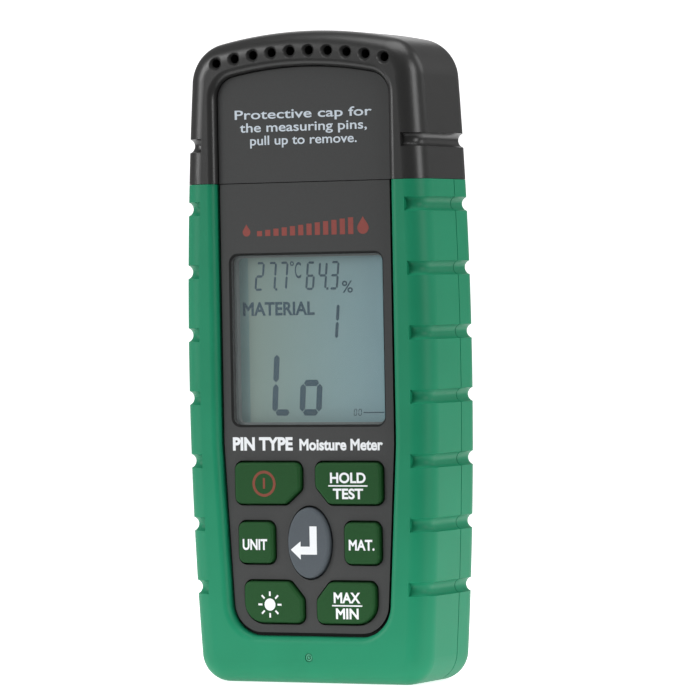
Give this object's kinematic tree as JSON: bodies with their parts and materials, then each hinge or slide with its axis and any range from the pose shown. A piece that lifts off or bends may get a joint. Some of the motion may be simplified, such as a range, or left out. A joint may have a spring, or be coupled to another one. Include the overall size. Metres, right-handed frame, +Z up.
{
  "type": "moisture meter",
  "caption": "Hand-held pin-type moisture meter with a grooved green casing, display, keypad, sensor head with pins under a pull-off cap, and a hinged battery door.",
  "frame": {"origin": "centre of the flat lower end, on the surface that the meter stands on", "axes": "+Z up from the lower end to the cap, -Y out of the face towards the user, +X to the user's right"},
  "size_m": [0.07, 0.03, 0.1644],
  "materials": {
    "casing_green": "fine satin moulded skin",
    "fascia_black": "fine matte",
    "cap_black": "satin moulded",
    "panel_black": "fine matte",
    "key_green": "matte silicone",
    "key_gray": "matte silicone",
    "window_clear": "polished clear acrylic",
    "display_gray": "satin reflective display",
    "guide_white": "white moulded",
    "frame_black": "moulded",
    "silicone_gray": "soft matte",
    "board_green": "lacquered laminate",
    "spring_steel": "bright plated",
    "pin_steel": "ground and polished",
    "brass_plated": "turned",
    "cell_jacket": "printed film jacket",
    "door_green": "fine satin moulded skin",
    "label_gray": "blank satin foil"
  },
  "bodies": {
    "casing": {"front_shell": "casing_green", "rear_shell": "casing_green", "fascia": "fascia_black", "sensor_head": "cap_black", "display_window": "window_clear", "display_glass": "display_gray", "light_guide": "guide_white", "head_connector": "guide_white", "air_sensor": "guide_white", "display_frame": "frame_black", "battery_tray": "frame_black", "controller": "frame_black", "buzzer": "frame_black", "key_mat": "silicone_gray", "zebra_strip": "silicone_gray", "main_board": "board_green", "head_board": "board_green", "battery_springs": "spring_steel", "snap_domes": "spring_steel", "board_screws": "spring_steel", "case_screws": "spring_steel", "battery_contacts": "spring_steel", "pin_left": "pin_steel", "pin_right": "pin_steel", "pin_collars": "brass_plated", "pin_sockets": "brass_plated", "battery_cell_1": "cell_jacket", "battery_cell_2": "cell_jacket", "battery_cell_3": "cell_jacket", "rear_label": "label_gray"},
    "cap": {"cap": "cap_black", "cap_panel": "panel_black"},
    "door": {"battery_door": "door_green"},
    "power_button": {"power_key": "key_green"},
    "hold_button": {"hold_key": "key_green"},
    "unit_button": {"unit_key": "key_green"},
    "enter_button": {"enter_key": "key_gray"},
    "material_button": {"material_key": "key_green"},
    "light_button": {"light_key": "key_green"},
    "max_min_button": {"max_min_key": "key_green"}
  },
  "joints": [
    {"name": "cap_pull", "type": "slide", "parent": "casing", "child": "cap", "axis": [0, 0, 1], "range_m": [0, 0.045]},
    {"name": "door_swing", "type": "hinge", "parent": "casing", "child": "door", "pos_m": [0, 0.015, 0.0085], "axis": [-1, 0, 0], "range_deg": [0, 75]},
    {"name": "power_press", "type": "slide", "parent": "casing", "child": "power_button", "axis": [0, 1, 0], "range_m": [0, 0.0008], "stiffness_N_per_m": 500},
    {"name": "hold_press", "type": "slide", "parent": "casing", "child": "hold_button", "axis": [0, 1, 0], "range_m": [0, 0.0008], "stiffness_N_per_m": 500},
    {"name": "unit_press", "type": "slide", "parent": "casing", "child": "unit_button", "axis": [0, 1, 0], "range_m": [0, 0.0008], "stiffness_N_per_m": 500},
    {"name": "enter_press", "type": "slide", "parent": "casing", "child": "enter_button", "axis": [0, 1, 0], "range_m": [0, 0.0008], "stiffness_N_per_m": 500},
    {"name": "material_press", "type": "slide", "parent": "casing", "child": "material_button", "axis": [0, 1, 0], "range_m": [0, 0.0008], "stiffness_N_per_m": 500},
    {"name": "light_press", "type": "slide", "parent": "casing", "child": "light_button", "axis": [0, 1, 0], "range_m": [0, 0.0008], "stiffness_N_per_m": 500},
    {"name": "max_min_press", "type": "slide", "parent": "casing", "child": "max_min_button", "axis": [0, 1, 0], "range_m": [0, 0.0008], "stiffness_N_per_m": 500}
  ]
}
